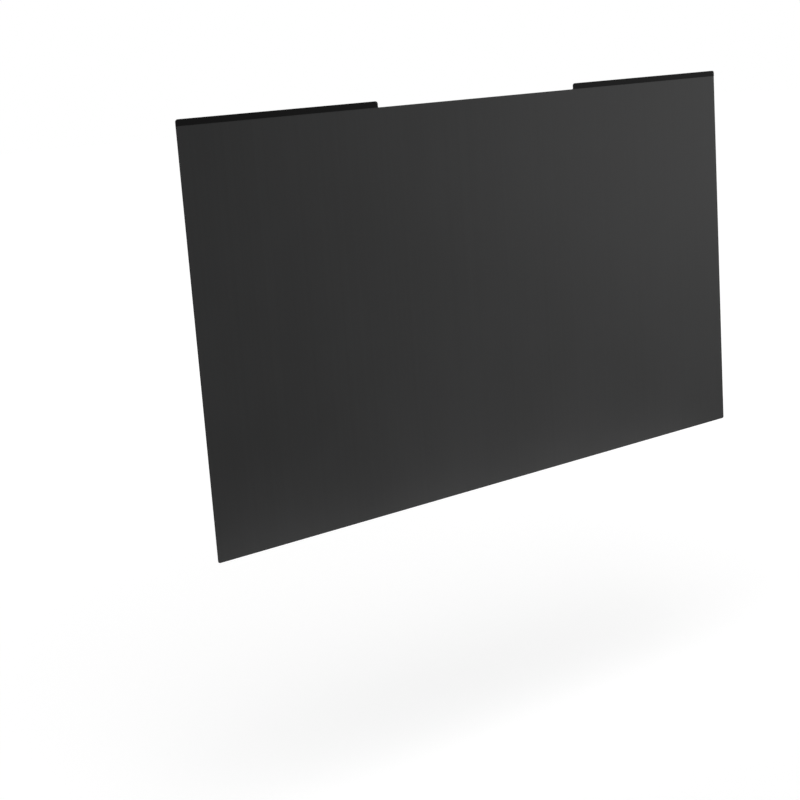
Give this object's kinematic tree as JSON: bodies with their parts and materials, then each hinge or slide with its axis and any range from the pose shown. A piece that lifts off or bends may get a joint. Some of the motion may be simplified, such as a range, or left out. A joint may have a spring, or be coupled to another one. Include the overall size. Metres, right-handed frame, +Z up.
{
  "type": "monitor privacy filter",
  "caption": "Dark louvred privacy sheet for a wide desktop screen, hung from two narrow magnetic strips on ears along its top edge.",
  "frame": {"origin": "centre of the whole filter's bounding box", "axes": "+X along the width, to the right as the user sees it; +Y from the front face to the back, away from the user; +Z up"},
  "size_m": [0.531, 0.0016, 0.3034],
  "materials": {
    "sheet": "anti-glare laminated film, near black from the side",
    "cover": "satin black plastic film",
    "magnet": "matte flexible magnet"
  },
  "bodies": {
    "root": {"privacy_sheet": "sheet", "left_cover_strip": "cover", "right_cover_strip": "cover", "left_magnet": "magnet", "right_magnet": "magnet"}
  },
  "joints": []
}
